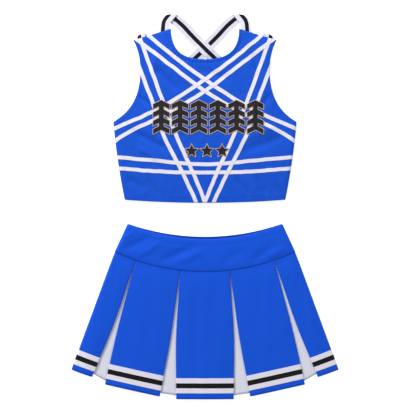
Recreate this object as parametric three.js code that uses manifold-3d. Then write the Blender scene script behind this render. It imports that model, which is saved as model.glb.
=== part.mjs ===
// Two-piece cheer uniform, laid flat and face up on a table: a sleeveless crop top with crossed back
// straps, and a box-pleated mini skirt. Millimetres, +Z up. The origin is on the table under the middle
// of the layout, +Y runs towards the head, and +X is the wearer's left. The cloth is held in flat layers,
// one above the other, so that each piece of cloth is a slab with its own height above the table.

import * as THREE from "three";
import { mergeVertices } from "three/addons/utils/BufferGeometryUtils.js";
import Module from "manifold-3d";

const wasm = await Module();
wasm.setup();

// ---- Driving dimensions ----

const CLOTH = 0.8; // thickness of the knit, and of the elastic
const RIBBON = 0.5; // thickness of a sewn-on ribbon
const GAP = 0.3; // air between two layers
const STEP = CLOTH + GAP; // one layer of cloth up
const RIBBON_STEP = RIBBON + GAP; // one layer of ribbon up

const LAYOUT_HALF = 406; // from the origin to the skirt's hem, and to the top of the strap loops

// Crop top
const top = {
  hemMiddle: { x: 0, y: 6 },
  hemBend: 90, // x of the point that the hem's curve leans towards
  hemCorner: { x: 169, y: 12.5 },
  sideBend: { x: 186, y: 95 },
  underarm: { x: 193, y: 176 },
  armholeBend: { x: 160, y: 196 },
  armholeNarrow: { x: 136, y: 285 },
  armholeBends: [225, 322], // y of the points that the armhole leans towards, below and above its narrowest
  shoulderOuter: { x: 151, y: 348 },
  shoulderInner: { x: 71.5, y: 372 },
  neckSideBend: 326,
  neckBottomBend: 47,
  neckBottom: { x: 0, y: 308 },
  backEdgeBend: 100,
  backEdgeMiddle: { x: 0, y: 164 },
  frontHeight: 8.9, // underside of the front panel, above the table
  seamWall: 1, // thickness of the wall where the front panel turns down to the back
  facingWidth: 9,
  facingInset: 0.5, // how far a facing's edge stands in from the panel's edge
};
const ribbonWidth = 8;
const ribbonLayers = 4;

// Straps: 25 mm elastic, sewn under the shoulder, looped over and sewn inside the back panel's edge
const strap = {
  width: 25,
  tuck: 16, // how far a strap runs down under the shoulder's edge
  loopLength: 7,
  shoulderHeight: 6.9, // underside of the strap where it is sewn to the shoulder, above the table
};

// Skirt
const skirt = {
  waistHalf: 163,
  waistCorner: -38.5,
  frontWaistMiddle: -70,
  backWaistMiddle: -65,
  seamHalf: 190,
  seamCorner: -97,
  seamMiddle: -139,
  elasticWidth: 25,
  tuck: 14, // how far a pleat panel runs up under the yoke
  tuckTaper: 5, // how far the tuck's corners stand in from the panel's edges
  sideTuckShare: 0.7, // share of a side panel's width that runs up under the yoke
  yokeWallShare: 0.68, // share of the yoke's side edge that is closed, from the waist down
  wall: 1, // thickness of the cloth where it turns down at the sides
  elasticInset: 2.5, // from the waist's corners to the elastic's ends
  elasticDrop: 3, // from the waist edge to the elastic
  hemToTrim: 12.5,
  trimWidth: 31.5,
  insetLift: 7, // how much higher the white pleat's hem is than the panels' hem
  insetTop: 60, // width of a white pleat at the yoke seam
  insetMargin: 34, // how far it runs on behind the panels at the hem
};

// Corners of the pleat panels on the wearer's left: seam end of each edge, then its hem end
const panelEdges = {
  centre: {
    inner: [[-51.5, -138], [-60.5, -LAYOUT_HALF]],
    outer: [[51.5, -138], [60.5, -LAYOUT_HALF]],
  },
  middle: {
    inner: [[53.5, -140], [95, -400.5]],
    outer: [[146, -120], [210, -375]],
  },
  side: {
    inner: [[148, -120], [237, -359.5]],
    outer: [[190, -97], [281, -344]],
  },
};

const FRONT_BASE = 10.1; // underside of the lowest layer of the skirt's front, above the table

// Heights of the skirt's layers above the table
const level = {
  backYoke: 0,
  backPanel: STEP,
  backInsetInner: 2 * STEP,
  backInsetOuter: 3 * STEP,
  frontInsetOuter: FRONT_BASE,
  frontInsetInner: FRONT_BASE + STEP,
  frontPanel: FRONT_BASE + 2 * STEP,
  frontYoke: FRONT_BASE + 3 * STEP,
};

// Appliques on the chest: a row of upright blocks of chevrons, and a row of stars under it
const blocks = {
  count: 6,
  pitch: 39.5,
  width: 35.5,
  height: 73,
  bottom: 149.5,
  middle: 7, // x of the row's middle
  rise: 9, // how much higher a chevron's point is than its ends
  bars: 4,
  barShare: 0.67, // a bar's height, as a share of the pitch of the bars
  spineWidth: 11,
  spineTop: 6, // from the block's top down to the spine's top
};
const stars = { count: 3, pitch: 32, points: 5, radius: 16, inner: 7.2, height: 115, middle: 4 };

// How many straight steps stand for each curve
const steps = {
  hem: 6,
  side: 6,
  armhole: 8,
  neck: 10,
  backEdge: 6,
  ribbon: 14,
  strap: 12,
  yoke: 14,
  elastic: 12,
};

// ---- Colours ----

const cloth = (color, roughness = 0.8) => new THREE.MeshStandardMaterial({ color, roughness, metalness: 0 });
const material = {
  blueKnit: cloth(0x1854d2),
  whiteRibbon: cloth(0xe6e4ef, 0.6),
  stripedElastic: cloth(0xe9e7ee, 0.7),
  stripedTrim: cloth(0xe3e1ec, 0.6),
  whitePleat: cloth(0xdcdce6),
  blackTwill: cloth(0x26262b, 0.7),
  waistElastic: cloth(0xf2f2f2, 0.9),
};

// ---- Solids ----

function solidOf(geometry) {
  geometry.deleteAttribute("normal");
  geometry.deleteAttribute("uv");
  const merged = mergeVertices(geometry, 1e-4);
  return new wasm.Manifold(
    new wasm.Mesh({
      numProp: 3,
      vertProperties: merged.attributes.position.array,
      triVerts: new Uint32Array(merged.index.array),
    }),
  );
}

// A slab with the outline of the points [x, y], from height z up
function slab(points, z, thickness) {
  const shape = new THREE.Shape(points.map(([x, y]) => new THREE.Vector2(x, y)));
  const geometry = new THREE.ExtrudeGeometry(shape, { depth: thickness, bevelEnabled: false });
  return solidOf(geometry.translate(0, 0, z));
}

function joined(...solids) {
  return solids.reduce((all, next) => all.add(next));
}

const root = new THREE.Group();

function addNode(name, solid, look) {
  const made = solid.getMesh();
  const geometry = new THREE.BufferGeometry();
  geometry.setAttribute("position", new THREE.BufferAttribute(made.vertProperties, 3));
  geometry.setIndex(new THREE.BufferAttribute(made.triVerts, 1));
  geometry.computeVertexNormals();
  const mesh = new THREE.Mesh(geometry, look);
  mesh.name = name;
  root.add(mesh);
}

// ---- Outlines ----

const mirrored = (points) => points.map(([x, y]) => [-x, y]).reverse();
const asArrays = (points) => points.map((p) => [p.x, p.y]);

// The same piece on both sides of the middle: side is +1 on the wearer's left and -1 on the right
const onSide = (points, side) => (side > 0 ? points : mirrored(points));
const SIDES = [
  ["left", 1],
  ["right", -1],
];

// Half of the front panel's edge on the wearer's left, as three separate stretches
function sideSeam() {
  const { hemCorner, underarm } = top;
  return new THREE.QuadraticBezierCurve(
    new THREE.Vector2(hemCorner.x, hemCorner.y),
    new THREE.Vector2(top.sideBend.x, top.sideBend.y),
    new THREE.Vector2(underarm.x, underarm.y),
  ).getPoints(steps.side);
}

function armhole() {
  const { underarm, armholeBend, armholeNarrow: narrow, armholeBends, shoulderOuter } = top;
  const lower = new THREE.CubicBezierCurve(
    new THREE.Vector2(underarm.x, underarm.y),
    new THREE.Vector2(armholeBend.x, armholeBend.y),
    new THREE.Vector2(narrow.x, armholeBends[0]),
    new THREE.Vector2(narrow.x, narrow.y),
  );
  const upper = new THREE.QuadraticBezierCurve(
    new THREE.Vector2(narrow.x, narrow.y),
    new THREE.Vector2(narrow.x, armholeBends[1]),
    new THREE.Vector2(shoulderOuter.x, shoulderOuter.y),
  );
  return [...lower.getPoints(steps.armhole), ...upper.getPoints(steps.armhole / 2).slice(1)];
}

function neckline() {
  const { shoulderInner, neckBottom } = top;
  return new THREE.CubicBezierCurve(
    new THREE.Vector2(shoulderInner.x, shoulderInner.y),
    new THREE.Vector2(shoulderInner.x, top.neckSideBend),
    new THREE.Vector2(top.neckBottomBend, neckBottom.y),
    new THREE.Vector2(neckBottom.x, neckBottom.y),
  ).getPoints(steps.neck);
}

function hem() {
  return new THREE.QuadraticBezierCurve(
    new THREE.Vector2(top.hemMiddle.x, top.hemMiddle.y),
    new THREE.Vector2(top.hemBend, top.hemMiddle.y),
    new THREE.Vector2(top.hemCorner.x, top.hemCorner.y),
  ).getPoints(steps.hem);
}

// A whole outline from the half on the wearer's left, which starts and ends on the middle line
function wholeOutline(half) {
  const points = asArrays(half);
  return [...points, ...mirrored(points).slice(1, -1)];
}

function frontOutline() {
  return wholeOutline([...hem(), ...sideSeam().slice(1), ...armhole().slice(1), ...neckline()]);
}

function backOutline() {
  const upperEdge = new THREE.QuadraticBezierCurve(
    new THREE.Vector2(top.underarm.x, top.underarm.y),
    new THREE.Vector2(top.backEdgeBend, top.backEdgeMiddle.y),
    new THREE.Vector2(top.backEdgeMiddle.x, top.backEdgeMiddle.y),
  ).getPoints(steps.backEdge);
  return wholeOutline([...hem(), ...sideSeam().slice(1), ...upperEdge.slice(1)]);
}

// A band that follows the points, from one distance on their left to another on their right
function band(points, toLeft, toRight) {
  const curve = points.map(([x, y]) => new THREE.Vector2(x, y));
  const left = [];
  const right = [];
  curve.forEach((p, i) => {
    const before = curve[Math.max(i - 1, 0)];
    const after = curve[Math.min(i + 1, curve.length - 1)];
    const onward = after.clone().sub(before).normalize();
    left.push([p.x - onward.y * toLeft, p.y + onward.x * toLeft]);
    right.push([p.x + onward.y * toRight, p.y - onward.x * toRight]);
  });
  return [...right, ...left.reverse()];
}

// A curve through the points
function smooth(points, count) {
  return asArrays(new THREE.SplineCurve(points.map(([x, y]) => new THREE.Vector2(x, y))).getPoints(count));
}

// A circular arc through (-half, corner), (0, middle) and (half, corner)
function dippedArc(half, corner, middle, count) {
  const sag = corner - middle;
  const radius = (half * half + sag * sag) / (2 * sag);
  return Array.from({ length: count + 1 }, (_, i) => {
    const x = -half + (2 * half * i) / count;
    return [x, middle + radius - Math.sqrt(radius * radius - x * x)];
  });
}

// ---- Crop top ----

function addTopPanels() {
  const z = top.frontHeight;
  const front = slab(frontOutline(), z, CLOTH);
  const walls = SIDES.map(([, side]) => {
    const edge = onSide(asArrays(sideSeam()), side);
    return slab(band(edge, top.seamWall, 0), STEP, z + CLOTH - STEP);
  });
  addNode("top_front_panel", joined(front, ...walls), material.blueKnit);
  addNode("top_back_panel", slab(backOutline(), 0, CLOTH), material.blueKnit);

  // Strips turned to the inside and stitched down along the neckline and the armholes
  const under = z - GAP - RIBBON;
  const neck = asArrays(neckline());
  const wholeNeck = [...neck, ...mirrored(neck).slice(1)];
  const facing = (edge) => slab(band(edge, top.facingWidth, -top.facingInset), under, RIBBON);
  addNode("neck_facing", facing(wholeNeck), material.blueKnit);
  for (const [name, side] of SIDES) {
    const edge = onSide(asArrays(armhole()).slice(1, -1), side);
    addNode("armhole_facing_" + name, facing(edge), material.blueKnit);
  }
}

// Five pairs of ribbons make the star. Points are on the ribbon's middle line, and the front panel's
// outline cuts the ends. Each pair lies one ribbon higher than the pairs that it crosses.
const starPairs = {
  shoulderToSide: {
    upper: [[-126, 364], [-57, 307], [0, 265.5], [52, 230.5], [109, 198], [196, 160]],
    lower: [[-154, 357.5], [-94.5, 312.4], [0, 241], [84, 192], [157.5, 155.9], [196, 131]],
  },
  shoulderToHem: {
    inner: [[-141, 364], [-98.7, 247], [-59, 144.5], [-23, 64.6], [3, 0]],
    outer: [[-146, 312], [-111, 220], [-86, 146.5], [-48, 71], [-15, 0]],
  },
  underbust: {
    upper: [[-196, 103], [-115, 96], [0, 87], [115, 96], [196, 103]],
    lower: [[-196, 80], [-90, 71.5], [0, 70], [90, 71.5], [196, 80]],
  },
};

function addRibbons() {
  const firstHeight = top.frontHeight + CLOTH + GAP;
  const cutter = slab(frontOutline(), firstHeight, ribbonLayers * RIBBON_STEP);
  const add = (name, points, layer) => {
    const outline = band(smooth(points, steps.ribbon), ribbonWidth / 2, ribbonWidth / 2);
    const ribbon = slab(outline, firstHeight + layer * RIBBON_STEP, RIBBON).intersect(cutter);
    addNode("ribbon_" + name, ribbon, material.whiteRibbon);
  };
  const { shoulderToSide, shoulderToHem, underbust } = starPairs;
  for (const [edge, points] of Object.entries(shoulderToSide)) {
    add("right_shoulder_to_left_side_" + edge, points, 0);
    add("left_shoulder_to_right_side_" + edge, mirrored(points), 1);
  }
  for (const [edge, points] of Object.entries(shoulderToHem)) {
    add("right_shoulder_to_hem_" + edge, points, 2);
    add("left_shoulder_to_hem_" + edge, mirrored(points), 3);
  }
  for (const [edge, points] of Object.entries(underbust)) {
    add("underbust_" + edge, points, 0);
  }
}

// Routes start at the loop beyond the wearer's right shoulder and end inside the back panel's edge
const strapRoutes = {
  inner: {
    shoulder: [-82, 369],
    loopEnd: LAYOUT_HALF,
    run: [[-80, 396], [0, 334], [50, 280], [84, 215], [95, 152]],
  },
  outer: {
    shoulder: [-137, 352],
    loopEnd: 361.5,
    run: [[-134, 350.5], [-92, 320], [0, 248], [40, 200], [56, 150]],
  },
};

function addStraps() {
  for (const [place, route] of Object.entries(strapRoutes)) {
    for (const [name, side, layer] of [["right", 1, 2], ["left", -1, 1]]) {
      const flip = (points) => onSide(points, side);
      const [x, edge] = route.shoulder;
      const half = strap.width / 2;
      const box = (y0, y1) => flip([[x - half, y0], [x + half, y0], [x + half, y1], [x - half, y1]]);
      const runHeight = layer * STEP;
      const rise = slab(box(edge - strap.tuck, route.loopEnd), strap.shoulderHeight, CLOTH);
      const loopHeight = strap.shoulderHeight + CLOTH - runHeight;
      const loop = slab(box(route.loopEnd - strap.loopLength, route.loopEnd), runHeight, loopHeight);
      const run = slab(band(flip(smooth(route.run, steps.strap)), half, half), runHeight, CLOTH);
      addNode("strap_" + place + "_" + name, joined(rise, loop, run), material.stripedElastic);
    }
  }
}

// The underside of the appliques, over all the layers of ribbon
const motifHeight = top.frontHeight + CLOTH + GAP + ribbonLayers * RIBBON_STEP;

// An upright block of stacked chevrons on one spine
function chevronBlock(x) {
  const { width, height, bottom, rise, bars, barShare, spineWidth, spineTop } = blocks;
  const half = width / 2;
  const pitch = (height - rise) / (bars - 1 + barShare);
  const barHeight = pitch * barShare;
  const [left, right] = [x - spineWidth / 2, x + spineWidth / 2];
  const [low, high] = [bottom + rise, bottom + height - spineTop];
  const spine = slab([[left, low], [right, low], [right, high], [left, high]], motifHeight, CLOTH);
  const chevrons = Array.from({ length: bars }, (_, i) => {
    const y = bottom + i * pitch;
    return slab(
      [
        [x - half, y],
        [x, y + rise],
        [x + half, y],
        [x + half, y + barHeight],
        [x, y + rise + barHeight],
        [x - half, y + barHeight],
      ],
      motifHeight,
      CLOTH,
    );
  });
  return joined(spine, ...chevrons);
}

function star(x) {
  const points = Array.from({ length: 2 * stars.points }, (_, i) => {
    const r = i % 2 ? stars.inner : stars.radius;
    const angle = Math.PI / 2 + (i * Math.PI) / stars.points;
    return [x + r * Math.cos(angle), stars.height + r * Math.sin(angle)];
  });
  return slab(points, motifHeight, CLOTH);
}

function addAppliques() {
  for (let i = 0; i < blocks.count; i++) {
    const x = blocks.middle + (i - (blocks.count - 1) / 2) * blocks.pitch;
    addNode("applique_chevron_" + (i + 1), chevronBlock(x), material.blackTwill);
  }
  for (let i = 0; i < stars.count; i++) {
    const x = stars.middle + (i - (stars.count - 1) / 2) * stars.pitch;
    addNode("applique_star_" + (i + 1), star(x), material.blackTwill);
  }
}

// ---- Skirt ----

function yokeOutline(waistMiddle) {
  const { waistHalf, waistCorner, seamHalf, seamCorner, seamMiddle } = skirt;
  const waist = dippedArc(waistHalf, waistCorner, waistMiddle, steps.yoke);
  const seam = dippedArc(seamHalf, seamCorner, seamMiddle, steps.yoke);
  return [...seam, ...waist.reverse()];
}

// The yoke's slanting side edge on the wearer's left, from the waist down by a share of its length
function yokeSide(share) {
  const { waistHalf, waistCorner, seamHalf, seamCorner } = skirt;
  return [
    [waistHalf + (seamHalf - waistHalf) * share, waistCorner + (seamCorner - waistCorner) * share],
    [waistHalf, waistCorner],
  ];
}

function addYoke() {
  const z = level.frontYoke;
  const walls = SIDES.map(([, side]) => {
    const edge = onSide(yokeSide(skirt.yokeWallShare), side);
    return slab(band(edge, skirt.wall, 0), STEP, z + CLOTH - STEP);
  });
  addNode(
    "front_yoke",
    joined(slab(yokeOutline(skirt.frontWaistMiddle), z, CLOTH), ...walls),
    material.blueKnit,
  );
  addNode("back_yoke", slab(yokeOutline(skirt.backWaistMiddle), level.backYoke, CLOTH), material.blueKnit);
}

// A closed ring of elastic in the yoke's turned-over top, flattened like the waist
function addWaistElastic() {
  const { waistCorner, frontWaistMiddle, backWaistMiddle, elasticWidth, elasticDrop, wall } = skirt;
  const half = skirt.waistHalf - skirt.elasticInset;
  const strip = (waistMiddle) => {
    const upper = dippedArc(half, waistCorner - elasticDrop, waistMiddle - elasticDrop, steps.elastic);
    const lower = upper.map(([x, y]) => [x, y - elasticWidth]);
    return [...lower, ...upper.reverse()];
  };
  const high = waistCorner - elasticDrop - GAP;
  const low = waistCorner - elasticDrop - elasticWidth;
  const endOutline = [[half - wall, low], [half, low], [half, high], [half - wall, high]];
  const endHeight = level.frontPanel + CLOTH - level.backPanel;
  const ends = SIDES.map(([, side]) => slab(onSide(endOutline, side), level.backPanel, endHeight));
  const ring = joined(
    slab(strip(frontWaistMiddle), level.frontPanel, CLOTH),
    slab(strip(backWaistMiddle), level.backPanel, CLOTH),
    ...ends,
  );
  addNode("waist_elastic", ring, material.waistElastic);
}

const lengthOf = ([a, b]) => Math.hypot(b[0] - a[0], b[1] - a[1]);
const along = ([a, b], share) => [a[0] + (b[0] - a[0]) * share, a[1] + (b[1] - a[1]) * share];
const fromStart = (line, distance) => along(line, distance / lengthOf(line));

// Points on a panel's edge: a distance above its hem end, and a distance beyond its seam end
const upFromHem = ([seamEnd, hemEnd], distance) => fromStart([hemEnd, seamEnd], distance);
const aboveSeam = (edge, distance) => fromStart(edge, -distance);

// The two upper corners of a panel, under the yoke, from its inner edge to its outer one
function tuckCorners(inner, outer) {
  const [first, last] = [aboveSeam(inner, skirt.tuck), aboveSeam(outer, skirt.tuck)];
  return [fromStart([first, last], skirt.tuckTaper), fromStart([last, first], skirt.tuckTaper)];
}

// A panel's outline between two edges, from one distance above the hem to another
function panelStrip(inner, outer, from, to) {
  return [upFromHem(inner, from), upFromHem(outer, from), upFromHem(outer, to), upFromHem(inner, to)];
}

function panelOutline(inner, outer) {
  const [tuckInner, tuckOuter] = tuckCorners(inner, outer);
  return [inner[1], outer[1], outer[0], tuckOuter, tuckInner, inner[0]];
}

function trimStrip(inner, outer) {
  return panelStrip(inner, outer, skirt.hemToTrim, skirt.hemToTrim + skirt.trimWidth);
}

// The skirt's two layers, each with the height of its panels and of their trims
const layers = [
  ["front", level.frontPanel, level.frontPanel + STEP],
  ["back", level.backPanel, 0],
];

function addFlatPanels() {
  const centre = [panelEdges.centre.inner, panelEdges.centre.outer];
  const { inner, outer } = panelEdges.middle;
  for (const [layer, panelHeight, trimHeight] of layers) {
    const add = (name, panel, trim) => {
      addNode("panel_" + layer + "_" + name, slab(panel, panelHeight, CLOTH), material.blueKnit);
      addNode("trim_" + layer + "_" + name, slab(trim, trimHeight, RIBBON), material.stripedTrim);
    };
    add("centre", panelOutline(...centre), trimStrip(...centre));
    for (const [name, side] of SIDES) {
      add(name, onSide(panelOutline(inner, outer), side), onSide(trimStrip(inner, outer), side));
    }
  }
}

// The side panels wrap round the skirt's sides: a front half, a back half and the fold between them
function addSidePanels() {
  const { inner, outer } = panelEdges.side;
  const tuck = tuckCorners(inner, outer);
  const half = [inner[1], outer[1], outer[0], along(tuck, skirt.sideTuckShare), tuck[0], inner[0]];
  const fold = band([outer[1], outer[0]], skirt.wall, 0);
  const trimHalf = trimStrip(inner, outer);
  const trimBridge = band([trimHalf[1], trimHalf[2]], skirt.wall, GAP + RIBBON);
  const trimFold = band([trimHalf[1], trimHalf[2]], -GAP, GAP + RIBBON);
  for (const [name, side] of SIDES) {
    const panel = joined(
      slab(onSide(half, side), level.frontPanel, CLOTH),
      slab(onSide(half, side), level.backPanel, CLOTH),
      slab(onSide(fold, side), level.backPanel, level.frontPanel + CLOTH - level.backPanel),
    );
    addNode("panel_side_" + name, panel, material.blueKnit);

    const faces = [0, level.frontPanel + STEP].map((z) =>
      joined(slab(onSide(trimHalf, side), z, RIBBON), slab(onSide(trimBridge, side), z, RIBBON)),
    );
    const trim = joined(...faces, slab(onSide(trimFold, side), 0, level.frontPanel + STEP + RIBBON));
    addNode("trim_side_" + name, trim, material.stripedTrim);
  }
}

// The white cloth of a box pleat, behind the gap between two panels. Its hem runs on along theirs.
function insetOutline(first, second) {
  const lifted = (edge) => upFromHem(edge, skirt.insetLift);
  const firstHem = [lifted(first.outer), lifted(first.inner)];
  const secondHem = [lifted(second.inner), lifted(second.outer)];
  const seam = along([first.outer[0], second.inner[0]], 0.5);
  const across = new THREE.Vector2(secondHem[0][0] - firstHem[0][0], secondHem[0][1] - firstHem[0][1]);
  across.setLength(skirt.insetTop / 2);
  return [
    fromStart(firstHem, skirt.insetMargin),
    firstHem[0],
    secondHem[0],
    fromStart(secondHem, skirt.insetMargin),
    [seam[0] + across.x, seam[1] + across.y],
    [seam[0] - across.x, seam[1] - across.y],
  ];
}

function addInsets() {
  const inner = insetOutline(panelEdges.centre, panelEdges.middle);
  const outer = insetOutline(panelEdges.middle, panelEdges.side);
  for (const [name, side] of SIDES) {
    const add = (layer, place, outline, z) => {
      const inset = slab(onSide(outline, side), z, CLOTH);
      addNode("inset_" + [layer, name, place].join("_"), inset, material.whitePleat);
    };
    add("front", "inner", inner, level.frontInsetInner);
    add("front", "outer", outer, level.frontInsetOuter);
    add("back", "inner", inner, level.backInsetInner);
    add("back", "outer", outer, level.backInsetOuter);
  }
}

addTopPanels();
addRibbons();
addStraps();
addAppliques();
addYoke();
addWaistElastic();
addFlatPanels();
addSidePanels();
addInsets();

export default root;
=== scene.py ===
"""A two-piece cheer uniform laid flat on a white floor: the looks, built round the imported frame.

Lengths here are millimetres, and become metres when a mesh is made. +Y runs towards the head, +X to the
wearer's left and +Z up from the floor. Each piece of cloth is a grid or a filled outline whose height
comes from one function for that layer, so that what is sewn on follows the cloth under it.
"""

import math

import bpy
import numpy as np
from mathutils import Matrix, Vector
from mathutils.geometry import delaunay_2d_cdt


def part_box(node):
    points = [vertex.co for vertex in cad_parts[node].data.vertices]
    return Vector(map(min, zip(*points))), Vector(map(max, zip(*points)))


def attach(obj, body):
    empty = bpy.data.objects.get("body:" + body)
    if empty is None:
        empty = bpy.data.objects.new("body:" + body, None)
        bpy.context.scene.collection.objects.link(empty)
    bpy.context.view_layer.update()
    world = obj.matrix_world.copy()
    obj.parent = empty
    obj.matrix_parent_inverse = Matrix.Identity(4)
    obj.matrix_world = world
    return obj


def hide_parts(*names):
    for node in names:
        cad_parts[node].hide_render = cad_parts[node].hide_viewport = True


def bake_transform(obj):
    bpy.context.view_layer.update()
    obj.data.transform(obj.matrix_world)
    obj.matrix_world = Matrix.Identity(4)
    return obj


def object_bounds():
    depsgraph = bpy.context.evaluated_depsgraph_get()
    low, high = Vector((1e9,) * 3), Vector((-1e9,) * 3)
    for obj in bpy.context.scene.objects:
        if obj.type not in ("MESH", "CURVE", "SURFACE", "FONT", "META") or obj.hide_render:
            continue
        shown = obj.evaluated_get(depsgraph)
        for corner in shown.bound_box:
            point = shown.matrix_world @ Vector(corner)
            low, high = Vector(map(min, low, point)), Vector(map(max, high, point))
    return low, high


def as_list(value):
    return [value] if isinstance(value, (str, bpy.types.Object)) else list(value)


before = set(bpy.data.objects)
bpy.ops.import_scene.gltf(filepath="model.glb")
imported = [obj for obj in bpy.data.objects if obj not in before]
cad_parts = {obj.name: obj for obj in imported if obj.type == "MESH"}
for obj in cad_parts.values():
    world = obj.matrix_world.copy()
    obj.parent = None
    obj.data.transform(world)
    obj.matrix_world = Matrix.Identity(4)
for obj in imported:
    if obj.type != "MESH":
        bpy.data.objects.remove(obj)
cad_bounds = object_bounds()

MM = 0.001


def box_of(node):
    """A CAD node's lowest and highest corners."""
    return [np.array(corner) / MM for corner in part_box(node)]


CLOTH = 0.8
RIBBON = 0.4
LAYER_GAP = 0.15
STITCH_LENGTH, STITCH_PITCH = 2.3, 3.1
THREAD_LIFT = 0.02
ROWS_BESIDE_EDGE = (0.5, 1.5, 3.2)

# ---- Lines and distances ----


def bezier(controls, steps=24):
    """Points along the Bezier curve with these control points."""
    t = np.linspace(0, 1, steps + 1)[:, None]
    n = len(controls) - 1
    return sum(math.comb(n, k) * t**k * (1 - t) ** (n - k) * np.array(p, float) for k, p in enumerate(controls))


def spline(points, steps=12):
    """A Catmull-Rom curve through the points."""
    p = np.array(points, float)
    p = np.vstack([p[:1], p, p[-1:]])
    t = np.linspace(0, 1, steps, endpoint=False)[:, None]
    spans = []
    for a, b, c, d in zip(p[:-3], p[1:-2], p[2:-1], p[3:]):
        slope_b, slope_c = (c - a) / 2, (d - b) / 2
        cubic = (2 * b - 2 * c + slope_b + slope_c) * t**3
        square = (-3 * b + 3 * c - 2 * slope_b - slope_c) * t**2
        spans.append(cubic + square + slope_b * t + b)
    return np.vstack([*spans, p[-1:]])


def lengths(line):
    """How far along the line each of its points is."""
    return np.concatenate([[0], np.cumsum(np.linalg.norm(np.diff(line, axis=0), axis=1))])


def at_lengths(line, where):
    run = lengths(line)
    return np.stack([np.interp(where, run, line[:, k]) for k in range(line.shape[1])], axis=1)


def resampled(line, spacing):
    total = lengths(line)[-1]
    return at_lengths(line, np.linspace(0, total, max(2, round(total / spacing) + 1)))


def left_normals(line):
    tangent = np.gradient(line, axis=0)
    tangent /= np.linalg.norm(tangent, axis=1, keepdims=True)
    return np.stack([-tangent[:, 1], tangent[:, 0]], axis=1)


def mirrored(points):
    return np.array(points, float) * (-1, 1)


def nearest(points, line):
    """How far each point is from the line, and how far along the line its nearest place is."""
    start, step = line[:-1], np.diff(line, axis=0)
    run, size = lengths(line), np.maximum((step**2).sum(1), 1e-12)
    gaps, places = [], []
    for part in np.array_split(points, max(1, len(points) // 2000)):
        t = np.clip(((part[:, None] - start) * step).sum(2) / size, 0, 1)
        gap = np.linalg.norm(part[:, None] - start - t[..., None] * step, axis=2)
        best = gap.argmin(1)
        rows = np.arange(len(part))
        gaps.append(gap[rows, best])
        places.append(run[best] + t[rows, best] * np.sqrt(size[best]))
    return np.concatenate(gaps), np.concatenate(places)


def gap_to(points, *lines):
    return np.min([nearest(points, line)[0] for line in lines], axis=0)


def inside(points, loop):
    """Which points lie within the closed loop."""
    x, y = points[:, 0, None], points[:, 1, None]
    a, b = loop, np.roll(loop, -1, axis=0)
    rise = np.where(b[:, 1] == a[:, 1], 1e-9, b[:, 1] - a[:, 1])
    crosses = ((a[:, 1] > y) != (b[:, 1] > y)) & (x < a[:, 0] + (y - a[:, 1]) * (b[:, 0] - a[:, 0]) / rise)
    return crosses.sum(1) % 2 == 1


def smooth(t):
    t = np.clip(t, 0, 1)
    return t * t * (3 - 2 * t)


def rounded(t):
    """From 0 to 1 along a quarter of a circle."""
    return np.sqrt(1 - (1 - np.clip(t, 0, 1)) ** 2)


def ripples(points, seed, wavelength, count=7):
    """A smooth uneven field of about -1 to 1."""
    random = np.random.default_rng(seed)
    total = np.zeros(len(points))
    for _ in range(count):
        angle, phase = random.uniform(0, 2 * math.pi, 2)
        wave = 2 * math.pi / (wavelength * random.uniform(0.7, 1.6))
        total += np.sin(wave * (points @ (math.cos(angle), math.sin(angle))) + phase)
    return total / count**0.5 / 1.6


def creases(points, folds):
    """The sum of soft ridges, each (start, end, half-width, height), which fade out at both ends."""
    total = np.zeros(len(points))
    for start, end, half_width, height in folds:
        line = np.array([start, end], float)
        gap, place = nearest(points, line)
        share = place / lengths(line)[-1]
        total += height * np.exp(-((gap / half_width) ** 2)) * smooth(share * 3) * smooth((1 - share) * 3)
    return total


# ---- Meshes ----


def add_piece(name, points, faces, material, body, nodes=(), uv=None, shown=None):
    """Makes one smooth mesh of points in millimetres, which rides on a body given by its name and replaces CAD
    nodes; with bodies given as a list it is left where it lies.
    """
    mesh = bpy.data.meshes.new(name)
    mesh.from_pydata((np.asarray(points) * MM).tolist(), [], faces)
    mesh.shade_smooth()
    for m in material if isinstance(material, list) else [material]:
        mesh.materials.append(m)
    if shown is not None:
        mesh.polygons.foreach_set("material_index", shown)
    if uv is not None:
        layer = mesh.uv_layers.new(name="cloth")
        corners = np.zeros(len(mesh.loops), int)
        mesh.loops.foreach_get("vertex_index", corners)
        layer.data.foreach_set("uv", (np.asarray(uv)[corners] * MM).ravel())
    piece = bpy.data.objects.new(name, mesh)
    bpy.context.scene.collection.objects.link(piece)
    if nodes:
        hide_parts(*nodes)
    if isinstance(body, str):
        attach(piece, body)
    else:
        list(body)
        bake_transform(piece)
    return piece


def thicken(piece, thickness):
    """Gives a sheet its thickness, behind the side that its faces show."""
    solid = piece.modifiers.new("thickness", "SOLIDIFY")
    solid.thickness = thickness * MM
    solid.offset = -1
    return piece


def grid_faces(rows, columns, ring=False):
    """Faces of a grid of points stored row by row. A ring's last column joins its first."""
    faces = []
    for low in range(0, (rows - 1) * columns, columns):
        high = low + columns
        for j in range(columns if ring else columns - 1):
            ahead = (j + 1) % columns
            faces.append((low + j, low + ahead, high + ahead, high + j))
    return faces


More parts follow.
